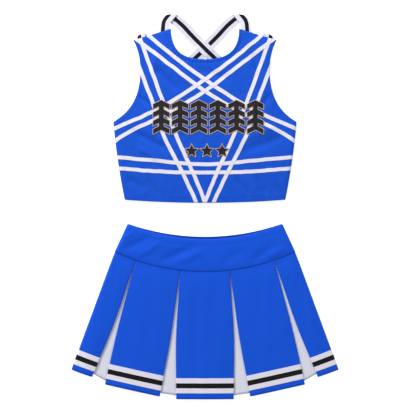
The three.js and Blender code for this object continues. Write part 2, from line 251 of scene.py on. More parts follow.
def filled(stretches, spacing):
    """Points and triangles over a closed outline, given as stretches that meet at its corners."""
    loop = np.vstack([resampled(stretch, spacing)[:-1] for stretch in stretches])
    closed = np.vstack([loop, loop[:1]])
    if (loop[:, 0] * np.roll(loop[:, 1], -1) - loop[:, 1] * np.roll(loop[:, 0], -1)).sum() < 0:
        loop, closed = loop[::-1], closed[::-1]
    wrapped = np.vstack([loop[-1:], loop, loop[:1]])
    inward = left_normals(wrapped)[1:-1]
    parts = [loop]
    for depth in ROWS_BESIDE_EDGE:
        row = loop + inward * depth
        row = row[inside(row, loop)]
        parts.append(row[nearest(row, closed)[0] > 0.93 * depth])
    low, high = loop.min(0), loop.max(0)
    height = spacing * math.sqrt(3) / 2
    grid = [
        (x + (j % 2) * spacing / 2, y)
        for j, y in enumerate(np.arange(low[1], high[1], height))
        for x in np.arange(low[0], high[0], spacing)
    ]
    grid = np.array(grid)
    grid = grid[inside(grid, loop)]
    parts.append(grid[nearest(grid, closed)[0] > ROWS_BESIDE_EDGE[-1] + 0.5 * spacing])
    points = np.vstack(parts)
    outline = [list(range(len(loop)))]
    made = delaunay_2d_cdt([tuple(p) for p in points], [], outline, 1, 1e-5)
    return np.array([tuple(p) for p in made[0]]), [tuple(f) for f in made[2]]


def add_filled(name, stretches, height, material, node, spacing, thickness=CLOTH, down=False):
    """A sheet of the top over an outline, at the height a function gives. Down faces it to the floor."""
    flat, faces = filled(stretches, spacing)
    if down:
        faces = [f[::-1] for f in faces]
    points = np.column_stack([flat, height(flat)])
    return thicken(add_piece(name, points, faces, material, "crop_top", [node], uv=flat), thickness)


def add_strip(name, lines, height, material, node, thickness=RIBBON):
    """A strip of the top through lines given from its right edge to its left, each with as many points."""
    lines = np.array(lines)[::-1]
    columns, rows = len(lines), len(lines[0])
    flat = lines.transpose(1, 0, 2).reshape(-1, 2)
    points = np.column_stack([flat, height(flat)]).reshape(rows, columns, 3)
    return add_grid(name, points, material, "crop_top", node, thickness)


def add_grid(name, grid, material, body, node, thickness=CLOTH, shown=None):
    """A sheet from rows of points, with a map that follows the cloth across and along."""
    rows, columns = grid.shape[:2]
    across = np.linalg.norm(np.diff(grid, axis=1), axis=2)
    across = np.concatenate([np.zeros((rows, 1)), np.cumsum(across, axis=1)], axis=1)
    across -= across.mean(axis=1, keepdims=True)
    step = np.linalg.norm(np.diff(grid, axis=0), axis=2).mean(axis=1)
    run = np.concatenate([[0], np.cumsum(step)])
    uv = np.column_stack([across.ravel(), np.repeat(run, columns)])
    faces = grid_faces(rows, columns)
    index = None if shown is None else [int(shown(*divmod(f, columns - 1))) for f in range(len(faces))]
    piece = add_piece(name, grid.reshape(-1, 3), faces, material, body, [node], uv, index)
    return thicken(piece, thickness)


def area_within(loop):
    x, y = loop.T
    return abs(x @ np.roll(y, -1) - y @ np.roll(x, -1)) / 2


def declare(piece, area=None, with_pieces=()):
    """Works out in square metres the size that a piece was cut to, and lists the pieces sewn on it; it keeps
    neither.
    """
    area = None if area is None else area * MM**2
    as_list(with_pieces)


def add_stitches(name, lines, height, material, body, width=0.5):
    """Rows of sewing stitches along lines on a surface, as one piece of small thread loops."""
    points, faces = [], []
    for line in lines:
        total = lengths(line)[-1]
        middles = np.arange(STITCH_PITCH / 2, total - STITCH_PITCH / 2, STITCH_PITCH)
        if not len(middles):
            continue
        ends = [at_lengths(line, middles + side * STITCH_LENGTH / 2) for side in (-1, 1)]
        for a, b in zip(*ends):
            forward = (b - a) / max(np.linalg.norm(b - a), 1e-9)
            side = np.array([-forward[1], forward[0]]) * width / 2
            start = len(points)
            inner = [a + (b - a) * 0.2, a + (b - a) * 0.8]
            flat = [a, *(p + s * side for p in inner for s in (1, 0, -1, 0)), b]
            lift = [0, 0, 0.3, 0, -0.2, 0, 0.3, 0, -0.2, 0]
            points += [(*p, z) for p, z in zip(flat, lift)]
            quads = [(1 + k, 1 + (k + 1) % 4, 5 + (k + 1) % 4, 5 + k) for k in range(4)]
            near_end = [(0, 1 + (k + 1) % 4, 1 + k) for k in range(4)]
            far_end = [(9, 5 + k, 5 + (k + 1) % 4) for k in range(4)]
            faces += [tuple(start + v for v in f) for f in quads + near_end + far_end]
    points = np.array(points)
    points[:, 2] += height(points[:, :2]) + THREAD_LIFT
    return add_piece(name, points, faces, material, body)


# ---- Materials ----


class Look:
    """A cloth material: a shader, and a map in millimetres across and along the cloth."""

    def __init__(self, name, roughness, sheen):
        self.material = bpy.data.materials.new(name)
        self.material.use_nodes = True
        self.tree = self.material.node_tree
        self.shader = self.tree.nodes["Principled BSDF"]
        self.shader.inputs["Roughness"].default_value = roughness
        self.shader.inputs["Sheen Weight"].default_value = sheen
        self.shader.inputs["Specular IOR Level"].default_value = 0.12
        self.uv = self.tree.nodes.new("ShaderNodeTexCoord").outputs["UV"]

    def link(self, value, socket):
        if isinstance(value, bpy.types.NodeSocket):
            self.tree.links.new(value, socket)
        else:
            socket.default_value = value

    def math(self, operation, *values):
        node = self.tree.nodes.new("ShaderNodeMath")
        node.operation = operation
        for value, socket in zip(values, node.inputs):
            self.link(value, socket)
        return node.outputs[0]

    def axes(self, pitch_across, pitch_along):
        """The map's two directions, each counted in threads."""
        scaled = self.tree.nodes.new("ShaderNodeVectorMath")
        scaled.operation = "MULTIPLY"
        self.link(self.uv, scaled.inputs[0])
        scaled.inputs[1].default_value = (1 / (pitch_across * MM), 1 / (pitch_along * MM), 0)
        split = self.tree.nodes.new("ShaderNodeSeparateXYZ")
        self.link(scaled.outputs[0], split.inputs[0])
        return split.outputs[0], split.outputs[1]

    def wave(self, value):
        """A wave from 0 to 1, one for each whole number."""
        turned = self.math("SINE", self.math("MULTIPLY", value, 2 * math.pi))
        return self.math("MULTIPLY_ADD", turned, 0.5, 0.5)

    def noise(self, size):
        node = self.tree.nodes.new("ShaderNodeTexNoise")
        self.link(self.uv, node.inputs["Vector"])
        node.inputs["Scale"].default_value = 1 / (size * MM)
        node.inputs["Detail"].default_value = 2.0
        return node.outputs["Fac"]

    def shade(self, colour, light, dark, amount):
        """Colours the cloth from dark to light by amount."""
        mix = self.tree.nodes.new("ShaderNodeMix")
        mix.data_type = "RGBA"
        self.link(amount, mix.inputs["Factor"])
        mix.inputs["A"].default_value = (*[c * dark for c in colour], 1)
        mix.inputs["B"].default_value = (*[min(1, c * light) for c in colour], 1)
        self.link(mix.outputs["Result"], self.shader.inputs["Base Color"])

    def bump(self, height, depth):
        node = self.tree.nodes.new("ShaderNodeBump")
        node.inputs["Strength"].default_value = 0.6
        node.inputs["Distance"].default_value = depth * MM
        self.link(height, node.inputs["Height"])
        self.link(node.outputs["Normal"], self.shader.inputs["Normal"])


def linear(r, g, b):
    """A colour given as it shows on screen, 0 to 255, as the shader takes it."""
    return [c / 255 / 12.92 if c <= 10 else ((c / 255 + 0.055) / 1.055) ** 2.4 for c in (r, g, b)]


def knit(name, colour, roughness=0.7, wale=1.1, course=0.9):
    """Fine jersey: columns of small V-shaped stitches, with a slightly uneven dye, and painted shade: the
    raised loops are coloured lighter and the hollows between them darker.
    """
    look = Look(name, roughness, 0.03)
    across, along = look.axes(wale, course)
    lean = look.math("MULTIPLY", look.math("PINGPONG", across, 0.5), 1.1)
    loops = look.wave(look.math("ADD", along, lean))
    columns = look.wave(across)
    height = look.math("MULTIPLY_ADD", loops, 0.6, look.math("MULTIPLY", columns, 0.4))
    mottle = look.math("MULTIPLY_ADD", look.noise(45), 0.8, look.math("MULTIPLY", look.noise(2.2), 0.5))
    # The stitch height in this colour is painted shade, lighter on the loops and darker between them; the
    # mottle is the uneven dye.
    look.shade(colour, 1.07, 0.93, look.math("MULTIPLY_ADD", height, 0.35, look.math("MULTIPLY", mottle, 0.5)))
    look.bump(height, 0.18)
    return look.material


def ribbed(name, colour, across_pitch, along_pitch, depth, roughness=0.55, contrast=0.06):
    """Woven ribbon, elastic or thread: ribs one way, finer threads the other, with painted shade: the raised
    threads are coloured lighter and the hollows darker, over a random unevenness.
    """
    look = Look(name, roughness, 0.02)
    across, along = look.axes(across_pitch, along_pitch)
    height = look.math("MULTIPLY_ADD", look.wave(along), 0.65, look.math("MULTIPLY", look.wave(across), 0.35))
    thread_shade_and_uneven = look.math("MULTIPLY_ADD", height, 0.6, look.math("MULTIPLY", look.noise(6), 0.5))
    # The thread height in this colour is painted shade, lighter on the raised threads; the noise is random
    # unevenness.
    look.shade(colour, 1 + contrast, 1 - contrast, thread_shade_and_uneven)
    look.bump(height, depth)
    return look.material


def twill(name, colour):
    """Black twill: fine slanting lines, coloured lighter on their raised threads and darker between them as
    painted shade, over a random unevenness.
    """
    look = Look(name, 0.75, 0.03)
    across, along = look.axes(1.4, 1.1)
    height = look.wave(look.math("ADD", across, along))
    thread_shade_and_uneven = look.math("MULTIPLY_ADD", height, 0.6, look.math("MULTIPLY", look.noise(1.5), 0.5))
    # The thread height in this colour is painted shade, lighter on the raised threads; the noise is random
    # unevenness.
    look.shade(colour, 1.5, 0.7, thread_shade_and_uneven)
    look.bump(height, 0.2)
    return look.material


BLUE = linear(14, 82, 214)
TOP_BLUE = linear(18, 81, 203)
BLUE_LOOK = knit("blue_knit", BLUE)
TOP_LOOK = knit("blue_knit_top", TOP_BLUE, wale=1.3, course=1.1)
# The facings inside the neck and armholes: the blue darkened to 0.85 as painted shade.
SHADED_FACING_LOOK = knit("blue_knit_inside_painted_shade", [c * 0.85 for c in BLUE], roughness=0.85)
# The inside of the waist casing: the blue darkened to 0.62 as painted shade.
SHADED_CASING_LOOK = knit("blue_knit_casing_painted_shade", [c * 0.62 for c in BLUE], roughness=0.85)
PLEAT_LOOK = knit("white_knit", linear(221, 223, 234), wale=1.4, course=1.2)
RIBBON_LOOK = ribbed("white_ribbon", linear(225, 222, 234), 0.5, 0.8, 0.08)
TRIM_WHITE = ribbed("trim_white", linear(226, 223, 236), 0.7, 0.55, 0.1)
TRIM_BLACK = ribbed("trim_black", linear(20, 20, 22), 0.7, 0.55, 0.1, contrast=0.3)
STRAP_WHITE = ribbed("elastic_white", linear(216, 214, 230), 1.2, 0.6, 0.15, roughness=0.65)
STRAP_BLACK = ribbed("elastic_black", linear(16, 16, 18), 1.2, 0.6, 0.15, roughness=0.65, contrast=0.3)
TWILL_LOOK = twill("black_twill", linear(36, 34, 40))
SATIN_LOOK = ribbed("satin_stitch", linear(196, 180, 146), 3.0, 0.55, 0.2, roughness=0.4, contrast=0.2)
WAIST_LOOK = ribbed("braided_elastic", linear(240, 240, 240), 1.6, 1.0, 0.2, roughness=0.8)
BLUE_THREAD = ribbed("blue_thread", [c * 0.8 for c in BLUE], 0.3, 0.3, 0.05)
WHITE_THREAD = ribbed("white_thread", linear(240, 238, 246), 0.3, 0.3, 0.05)

# ---- Crop top: outline ----

HEM_MIDDLE, HEM_CORNER = (0, 6), (169, 12.5)
UNDERARM, ARMHOLE_NARROW = (193, 176), (136, 285)
SHOULDER_OUTER, SHOULDER_INNER = (151, 348), (71.5, 372)
NECK_BOTTOM, BACK_EDGE_MIDDLE = (0, 308), (0, 164)

hem_half = bezier([HEM_MIDDLE, (90, HEM_MIDDLE[1]), HEM_CORNER])
side_seam = bezier([HEM_CORNER, (186, 95), UNDERARM])
armhole_lower = bezier([UNDERARM, (160, 196), (ARMHOLE_NARROW[0], 225), ARMHOLE_NARROW])
armhole_upper = bezier([ARMHOLE_NARROW, (ARMHOLE_NARROW[0], 322), SHOULDER_OUTER])
armhole = np.vstack([armhole_lower, armhole_upper[1:]])
shoulder = np.array([SHOULDER_OUTER, SHOULDER_INNER], float)
neck_half = bezier([SHOULDER_INNER, (SHOULDER_INNER[0], 326), (47, NECK_BOTTOM[1]), NECK_BOTTOM])
back_edge_half = bezier([UNDERARM, (100, BACK_EDGE_MIDDLE[1]), BACK_EDGE_MIDDLE])


def both_halves(half):
    """A line from the wearer's left to the right, from its left half, which ends on the middle line."""
    return np.vstack([half, mirrored(half)[::-1][1:]])


hem = both_halves(hem_half[::-1])[::-1]
neckline = both_halves(neck_half)
back_edge = both_halves(back_edge_half)
right_side_seam, right_armhole, right_shoulder = [mirrored(s)[::-1] for s in (side_seam, armhole, shoulder)]
front_stretches = [hem, side_seam, armhole, shoulder, neckline, right_shoulder, right_armhole, right_side_seam]
back_stretches = [hem, side_seam, back_edge, right_side_seam]
front_loop = np.vstack([s[:-1] for s in front_stretches])

# ---- Crop top: how high each layer lies ----

TOP_LOFT = box_of("top_front_panel")[1][2]
SEAM_HEIGHT = 4.4
SIDE_ROUNDING = 9.0
HEM_FOLD = 15.0
NECK_PUCKER, NECK_PUCKER_PITCH = 0.75, 7.5
NECK_SEAM = 7.0
FLOOR_GAP = 0.3
EDGE_DROP, EDGE_REACH = 1.8, 14.0
HEM_DROP, HEM_REACH = 2.6, 30.0

# Wrinkles: from, to, half-width, height.
front_folds = [
    ((-122, 304), (-48, 234), 7, -2.4),
    ((-108, 318), (-30, 252), 8, 1.3),
    ((-36, 296), (66, 258), 9, -1.8),
    ((-170, 166), (-58, 106), 8, -2.6),
    ((-150, 128), (-84, 88), 6, 1.8),
    ((-176, 60), (-118, 34), 9, -1.4),
    ((58, 108), (182, 150), 9, -2.2),
    ((70, 136), (164, 172), 8, 1.3),
    ((104, 70), (134, 18), 5, -2.2),
    ((126, 86), (158, 32), 6, 1.8),
    ((58, 64), (98, 16), 6, -1.7),
    ((-124, 64), (-94, 14), 7, -1.8),
    ((-40, 52), (-10, 22), 8, -1.0),
    ((-148, 236), (-104, 204), 5, -1.7),
    ((142, 242), (110, 194), 6, -1.8),
    ((96, 332), (120, 260), 6, -1.8),
    ((-92, 350), (-114, 266), 6, 1.4),
    ((40, 300), (74, 350), 6, -1.2),
]


def front_height(points):
    """The outer face of the front panel."""
    side = gap_to(points, side_seam, right_side_seam)
    free = gap_to(points, armhole, right_armhole, neckline, shoulder, right_shoulder)
    above_hem = nearest(points, hem)[0]
    from_neck, along_neck = nearest(points, neckline)
    z = TOP_LOFT - EDGE_DROP * np.exp(-free / EDGE_REACH) - HEM_DROP * np.exp(-above_hem / HEM_REACH)
    z += 1.3 * creases(points, front_folds) * smooth(free / 12)
    z += 0.9 * ripples(points * (1, 0.7), 3, 75) + 0.25 * ripples(points, 8, 20)
    pucker = NECK_PUCKER * np.exp(-(((points[:, 1] - NECK_BOTTOM[1]) / 40) ** 2)) + 0.15
    z += pucker * np.sin(2 * math.pi * along_neck / NECK_PUCKER_PITCH) * np.exp(-((from_neck / 13) ** 2))
    z += 0.9 * np.exp(-(((from_neck - 2.5) / 2.5) ** 2)) - 0.7 * np.exp(-(((from_neck - NECK_SEAM) / 2.5) ** 2))
    z += 0.35 * smooth((HEM_FOLD - above_hem) / 1.5) + 0.3 * smooth((8 - free) / 1.5)
    return SEAM_HEIGHT + (z - SEAM_HEIGHT) * rounded(side / SIDE_ROUNDING)


def back_height(points):
    """The outer face of the back panel, which lies on the floor."""
    side = gap_to(points, side_seam, right_side_seam)
    z = FLOOR_GAP + 0.25 * (1 + ripples(points, 5, 60))
    seam = SEAM_HEIGHT - 0.2
    return seam - (seam - z) * rounded(side / SIDE_ROUNDING)


def inset_line(line, distance):
    """The line moved to its left, and so into the cloth for lines that run round it."""
    return line + left_normals(line) * distance


def add_top_panels():
    """The two panels and the facings inside them. Returns the front panel and what is sewn to it."""
    front = add_filled("top_front_panel.cloth", front_stretches, front_height, TOP_LOOK, "top_front_panel",
                       2.4)
    back = add_filled("top_back_panel.cloth", back_stretches, back_height, TOP_LOOK, "top_back_panel",
                      4, down=True)
    edges = {"neck": neckline, "armhole_left": armhole, "armhole_right": right_armhole}
    facings, rows = [], []
    for name, edge in edges.items():
        line = resampled(edge, 3)
        place, _, side = name.partition("_")
        node = f"{place}_facing_{side}".rstrip("_")
        lines = [inset_line(line[1:-1], d) for d in (0.6, 3, 6, 9)]
        # The facings take the darker blue, painted shade under the panel's edges.
        facings.append(add_strip(name + "_facing.cloth", lines, lambda p: front_height(p) - CLOTH - LAYER_GAP,
                                 SHADED_FACING_LOOK, node, thickness=0.5))
        rows.append(inset_line(line, NECK_SEAM))
    rows += [inset_line(hem, d)[6:-6] for d in (11.5, 14)]
    threads = add_stitches("top_seam_stitches", rows, front_height, BLUE_THREAD, "crop_top")
    back_loop = np.vstack([s[:-1] for s in back_stretches])
    declare(back, area_within(back_loop))
    return front, [*facings, threads]


# ---- Crop top: ribbon star ----

RIBBON_WIDTH = 8.0
RIBBON_RAMP = 1.8
star_pairs = {
    "shoulder_to_side": {
        "upper": [(-126, 364), (-57, 307), (0, 265.5), (52, 230.5), (109, 198), (196, 160)],
        "lower": [(-154, 357.5), (-94.5, 312.4), (0, 241), (84, 192), (157.5, 155.9), (196, 131)],
    },
    "shoulder_to_hem": {
        "inner": [(-141, 364), (-98.7, 247), (-59, 144.5), (-23, 64.6), (3, 0)],
        "outer": [(-146, 312), (-111, 220), (-86, 146.5), (-48, 71), (-15, 0)],
    },
    "underbust": {
        "upper": [(-196, 103), (-115, 96), (0, 87), (115, 96), (196, 103)],
        "lower": [(-196, 80), (-90, 71.5), (0, 70), (90, 71.5), (196, 80)],
    },
}


def ribbon_routes():
    """Each ribbon's node name and middle line, from the lowest to the highest."""
    routes = []
    for edge, points in star_pairs["underbust"].items():
        routes.append((f"ribbon_underbust_{edge}", spline(points)))
    for pair, ends in (("shoulder_to_side", "left_side right_side"), ("shoulder_to_hem", "hem hem")):
        for side, end in zip(("right", "left"), ends.split()):
            for edge, points in star_pairs[pair].items():
                line = points if side == "right" else mirrored(points)
                routes.append((f"ribbon_{side}_shoulder_to_{end}_{edge}", spline(line)))
    return routes


ribbon_lines = ribbon_routes()


def ribbon_lift(points, routes):
    """How far the ribbons that lie under a point push it up."""
    lift = np.zeros(len(points))
    for _, line in routes:
        lift += RIBBON * smooth((RIBBON_WIDTH / 2 + RIBBON_RAMP - nearest(points, line)[0]) / RIBBON_RAMP)
    return lift


def within_front(line):
    """The longest stretch of the line that lies on the front panel."""
    fine = resampled(line, 0.5)
    on_cloth = inside(fine, front_loop)
    changes = np.flatnonzero(np.diff(on_cloth)) + 1
    stretches = zip(np.split(fine, changes), on_cloth[[0, *changes]])
    return max((stretch for stretch, on in stretches if on), key=len)


def add_ribbons():
    """Ten ribbons, each over those before it, with a row of stitches by both edges."""
    pieces = []
    across = np.array([-4, -3.7, -2.2, 0, 2.2, 3.7, 4]) * RIBBON_WIDTH / 8
    for k, (node, line) in enumerate(ribbon_lines):
        line = resampled(line, 4)
        normal = left_normals(line)
        line = line + normal * 0.5 * ripples(line, 40 + k, 30)[:, None]
        runs = [within_front(line + normal * a) for a in across]
        count = round(lengths(runs[3])[-1] / 2.4)
        lines = [at_lengths(run, np.linspace(0.3, lengths(run)[-1] - 0.3, count)) for run in runs]
        under = ribbon_lines[:k]

        def height(points, under=under):
            return front_height(points) + RIBBON + LAYER_GAP + ribbon_lift(points, under)

        piece = add_strip(node + ".cloth", lines, height, RIBBON_LOOK, node)
        rows = [lines[1] + (lines[2] - lines[1]) * 0.3, lines[5] + (lines[4] - lines[5]) * 0.3]
        threads = add_stitches(node + ".stitches", rows, height, WHITE_THREAD, "crop_top", width=0.42)
        pieces += [piece, threads]
    return pieces


# ---- Crop top: appliques ----

BEAD_WIDTH, BEAD_HEIGHT, BEAD_SIDES = 1.25, 0.7, 8
BEAD_SINK = 0.1


def top_face_loop(node):
    """The outline of a flat CAD node, as its corners in order."""
    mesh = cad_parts[node].data
    spots = [tuple(round(c / MM, 2) for c in v.co) for v in mesh.vertices]
    high = max(spot[2] for spot in spots)
    ahead = {}
    for face in mesh.polygons:
        ring = [spots[v] for v in face.vertices]
        if all(spot[2] == high for spot in ring):
            for start, end in zip(ring, ring[1:] + ring[:1]):
                ahead.setdefault(start, []).append(end)
    rim = {a: b for a, ends in ahead.items() for b in ends if a not in ahead[b]}
    loop = [min(rim)]
    while rim[loop[-1]] != loop[0]:
        loop.append(rim[loop[-1]])
    return np.array(loop)[:, :2]


def motif_height(points):
    return front_height(points) + 0.9 + 0.8 * ribbon_lift(points, ribbon_lines)


def add_bead(name, stretches):
    """A raised line of satin stitch round a closed outline."""
    line = np.vstack([resampled(stretch, 1.6)[:-1] for stretch in stretches])
    wrapped = np.vstack([line[-1:], line, line[:1]])
    normal = left_normals(wrapped)[1:-1]
    around = []
    for angle in np.linspace(0, 2 * math.pi, BEAD_SIDES, endpoint=False):
        flat = line + normal * (BEAD_WIDTH / 2 * math.cos(angle))
        height = motif_height(flat) - BEAD_SINK
        around.append(np.column_stack([flat, height + BEAD_HEIGHT / 2 * math.sin(angle)]))
    rows, columns = len(line), BEAD_SIDES
    points = np.array(around).transpose(1, 0, 2).reshape(-1, 3)
    faces = grid_faces(rows, columns, ring=True)
    last = (rows - 1) * columns
    faces += [(last + j, last + (j + 1) % columns, (j + 1) % columns, j) for j in range(columns)]
    uv = np.column_stack([np.tile(np.arange(columns) * 0.7, rows), np.repeat(lengths(line), columns)])
    return add_piece(name, points, faces, SATIN_LOOK, "crop_top", uv=uv)


def add_appliques():
    names = sorted(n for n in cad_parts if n.startswith("applique_"))
    pieces = []
    for node in names:
        loop = top_face_loop(node)
        stretches = [np.array([a, b]) for a, b in zip(loop, np.roll(loop, -1, axis=0))]
        pieces.append(add_filled(node + ".cloth", stretches, motif_height, TWILL_LOOK, node, 2.2,
                                 thickness=0.6))
        pieces.append(add_bead(node + ".edge", stretches))
    return pieces


# ---- Crop top: straps ----

STRAP_WIDTH, STRAP_THICKNESS = 25.0, 1.0
STRAP_STRIPE = 8.5
FOLD_RADIUS = 1.8
STRAP_CLEARANCE = 0.3
STRAP_RAMP = 6.0
CLIMB_POINTS, FALL_POINTS = 26, 110
FOLD_HEIGHT = 0.8
# Each strap rises from inside its shoulder to its fold, and then runs down to the back panel.
strap_routes = {
    "inner": {
        "rise": [(-88.5, 346), (-88.5, 372), (-86, 389), (-76, 403)],
        "run": [(-50, 382), (-26, 356.5), (0, 330.5), (50, 279), (84, 215), (95, 152)],
    },
    "outer": {
        "rise": [(-130, 336), (-136.5, 348), (-139, 359.5)],
        "run": [(-92, 322), (0, 248), (40, 200), (56, 150)],
    },
}
strap_across = np.array([-12.5, -12.1, -8.4, -STRAP_STRIPE / 2, 0, STRAP_STRIPE / 2, 8.4, 12.1, 12.5])


def strap_run(route):
    """The strap's middle line from its fold to its sewn end."""
    return spline([route["rise"][-1], *route["run"]], 16)


def strap_height(points, under):
    """The lower face of a strap's run, over the floor, the back panel's edge and the straps under it."""
    z = STRAP_CLEARANCE + 1.3 * smooth((188 - points[:, 1]) / 16)
    z += 0.35 * (1 + ripples(points, 12, 50))
    for line in under:
        beside = STRAP_WIDTH / 2 + STRAP_RAMP - nearest(points, line)[0]
        z += (STRAP_THICKNESS + STRAP_CLEARANCE) * smooth(beside / STRAP_RAMP)
    return z


def strap_points(route, under):
    """Rows of points across a strap: up from the shoulder, over its fold and down its run.

    The rising part curls down at its outer edge, so that it looks narrower there from above.
    """
    rise, run = spline(route["rise"], 16), strap_run(route)
    crease = rise[-1]
    up = (rise[-1] - rise[-4]) / np.linalg.norm(rise[-1] - rise[-4])
    down = (run[1] - run[0]) / np.linalg.norm(run[1] - run[0])
    fold = (up + down) / np.linalg.norm(up + down)
    outward = np.array([-fold[1], fold[0]])
    left = np.array([-up[1], up[0]])
    rise = resampled(np.vstack([rise, rise[-1:] + up * 20]), 2)
    run = np.vstack([run[0] - down * 22, run])
    rise_left, run_left = left_normals(rise), left_normals(run)
    columns = []
    for v in strap_across:
        curl = smooth(max(v, 0) / strap_across[-1])
        narrowed = v - 0.55 * max(v - STRAP_STRIPE / 2, 0)
        radius = FOLD_RADIUS * (1 - 0.5 * curl)
        rounding = outward * (2.5 * curl + 2.0 * smooth(max(-v - 4, 0) / 8.5))
        corner = crease + fold * narrowed / (left @ fold) - rounding
        near_fold = corner - up * radius / (up @ outward)
        past_fold = corner + down * radius / -(down @ outward)
        side_line = rise + rise_left * narrowed
        stop = nearest(near_fold[None], side_line)[1][0]
        climb = at_lengths(side_line, np.linspace(0, stop, CLIMB_POINTS))
        share = np.linspace(0, 1, CLIMB_POINTS)
        climb += rise_left[:1] * (v - narrowed) * (1 - smooth(share / 0.6))[:, None]
        climb += (near_fold - climb[-1]) * smooth(share)[:, None]
        beyond = run - run_left * v
        start = nearest(past_fold[None], beyond)[1][0]
        fall = at_lengths(beyond, np.linspace(start, lengths(beyond)[-1], FALL_POINTS))
        fall += (past_fold - fall[0]) * (1 - smooth(lengths(fall) / 25))[:, None]
        low = strap_height(fall, under)
        low += (FOLD_HEIGHT - low[0]) * smooth(1 - lengths(fall) / 40)
        high = low[0] + 2 * radius
        inner = front_height(climb[:1]) - CLOTH - 0.75
        heights = inner + (high - inner) * smooth((share - 0.3) / 0.7)
        turn = np.linspace(math.pi / 2, -math.pi / 2, 9)[1:-1]
        mid = [near_fold + (past_fold - near_fold) * (0.5 - a / math.pi) + outward * radius * math.cos(a)
               for a in turn]
        bend = np.column_stack([mid, low[0] + radius + radius * np.sin(turn)])
        columns.append(np.vstack([np.column_stack([climb, heights]), bend, np.column_stack([fall, low])]))
    return np.array(columns).transpose(1, 0, 2)


def add_straps():
    lower = [mirrored(strap_run(route)) for route in strap_routes.values()]
    for place, route in strap_routes.items():
        for side, under, mirror in (("right", lower, 1), ("left", [], -1)):
            points = strap_points(route, under)[:, ::-mirror] * (mirror, 1, 1)
            node = f"strap_{place}_{side}"
            piece = add_grid(f"{node}.elastic", points, [STRAP_WHITE, STRAP_BLACK], "crop_top", node,
                             STRAP_THICKNESS, lambda row, column: column in (3, 4))
            cut = lengths(spline(route["rise"]))[-1] + lengths(strap_run(route))[-1]
            declare(piece)


# ---- Skirt: yoke ----

WAIST_HALF, WAIST_CORNER = 163.0, -38.5
WAIST_MIDDLE = {"front": -70.0, "back": -65.0}
YOKE_HALF, YOKE_CORNER, YOKE_MIDDLE = 190.0, -97.0, -139.0
YOKE_FACE = {"front": box_of("front_yoke")[1][2] - 0.3, "back": FLOOR_GAP}
SKIRT_MIDDLE_HEIGHT = (YOKE_FACE["front"] + YOKE_FACE["back"]) / 2
SKIRT_SIDE_ROUNDING = 7.0
CASING_FOLD, CASING_DEPTH = 1.6, 28.0
CASING_STITCH = 14.0
YOKE_ROWS = 26
ELASTIC_WIDTH = 25.0

yoke_folds = [
    ((-176, -96), (-108, -62), 8, -1.9),
    ((-150, -112), (-88, -74), 7, 1.6),
    ((-104, -122), (-12, -82), 9, -2.0),
    ((-66, -120), (6, -92), 8, 1.4),
    ((-170, -70), (-146, -52), 5, 1.0),
    ((30, -128), (84, -88), 9, -1.1),
    ((92, -122), (150, -78), 8, -1.3),
    ((122, -112), (176, -84), 7, 1.1),
]


def dipped(half, corner, middle, x):
    """The height on the page of a shallow arc through (-half, corner), (0, middle) and (half, corner)."""
    sag = corner - middle
    radius = (half**2 + sag**2) / (2 * sag)
    return middle + radius - np.sqrt(radius**2 - x**2)


def yoke_lines(layer, share):
    """Waist points, seam points, and the way and distance between, for shares of the half-width, -1 to 1."""
    waist_x, seam_x = WAIST_HALF * share, YOKE_HALF * share
    waist = np.column_stack([waist_x, dipped(WAIST_HALF, WAIST_CORNER, WAIST_MIDDLE[layer], waist_x)])
    seam = np.column_stack([seam_x, dipped(YOKE_HALF, YOKE_CORNER, YOKE_MIDDLE, seam_x)])
    deep = np.linalg.norm(seam - waist, axis=1, keepdims=True)
    return waist, seam, (seam - waist) / deep, deep


yoke_side = np.array([[YOKE_HALF + 12, YOKE_CORNER - 26], [YOKE_HALF, YOKE_CORNER], [WAIST_HALF, WAIST_CORNER]])
yoke_side = np.vstack([yoke_side, [WAIST_HALF - 4, WAIST_CORNER + 9]])
yoke_shares = np.sin(np.linspace(-math.pi / 2, math.pi / 2, 141))


def yoke_height(points, layer):
    """The yoke's outer face: above for the front, on the floor for the back."""
    side = gap_to(points, yoke_side, mirrored(yoke_side))
    x = np.clip(points[:, 0], -WAIST_HALF, WAIST_HALF)
    below_waist = dipped(WAIST_HALF, WAIST_CORNER, WAIST_MIDDLE[layer], x) - points[:, 1]
    away = np.zeros(len(points))
    if layer == "front":
        x = np.clip(points[:, 0], -YOKE_HALF, YOKE_HALF)
        above_seam = np.maximum(points[:, 1] - dipped(YOKE_HALF, YOKE_CORNER, YOKE_MIDDLE, x), 0)
        away = 1.25 * creases(points, yoke_folds) * smooth(below_waist / 16)
        away += 0.45 * ripples(points, 21, 60) * smooth(above_seam / 12) - 1.4 * np.exp(-below_waist / 14)
        away += 0.25 * np.sin(points[:, 0] * 2 * math.pi / 8.5) * np.exp(-(((below_waist - 8) / 7) ** 2))
        away -= 0.5 * np.exp(-(((below_waist - CASING_STITCH) / 2.2) ** 2)) + 1.55 * np.exp(-above_seam / 9)
        away += 0.14 * np.sin(points[:, 0] * 2 * math.pi / 9.5) * np.exp(-((above_seam / 7) ** 2))
    face = YOKE_FACE[layer] + away
    return SKIRT_MIDDLE_HEIGHT + (face - SKIRT_MIDDLE_HEIGHT) * rounded(side / SKIRT_SIDE_ROUNDING)


def yoke_points(layer):
    """Rows from the seam up to the waist, over its fold and down inside the casing."""
    inward = -1 if layer == "front" else 1
    waist, _, down, deep = yoke_lines(layer, yoke_shares)
    rows = []
    for share in np.linspace(1, 0, YOKE_ROWS):
        flat = waist + down * (CASING_FOLD + share * (deep - CASING_FOLD))
        rows.append((flat, 0.0))
    for turn in np.linspace(0, math.pi, 8)[1:]:
        rows.append((waist + down * CASING_FOLD * (1 - math.sin(turn)), CASING_FOLD * (1 - math.cos(turn))))
    for reach in np.linspace(CASING_FOLD, CASING_DEPTH, 9)[1:]:
        rows.append((waist + down * reach, 2 * CASING_FOLD))
    made = []
    for flat, depth in rows:
        narrow = flat * (1 - 0.03 * smooth(depth / (2 * CASING_FOLD)) * np.array([1, 0]))
        made.append(np.column_stack([narrow, yoke_height(narrow, layer) + inward * depth]))
    return np.array(made)


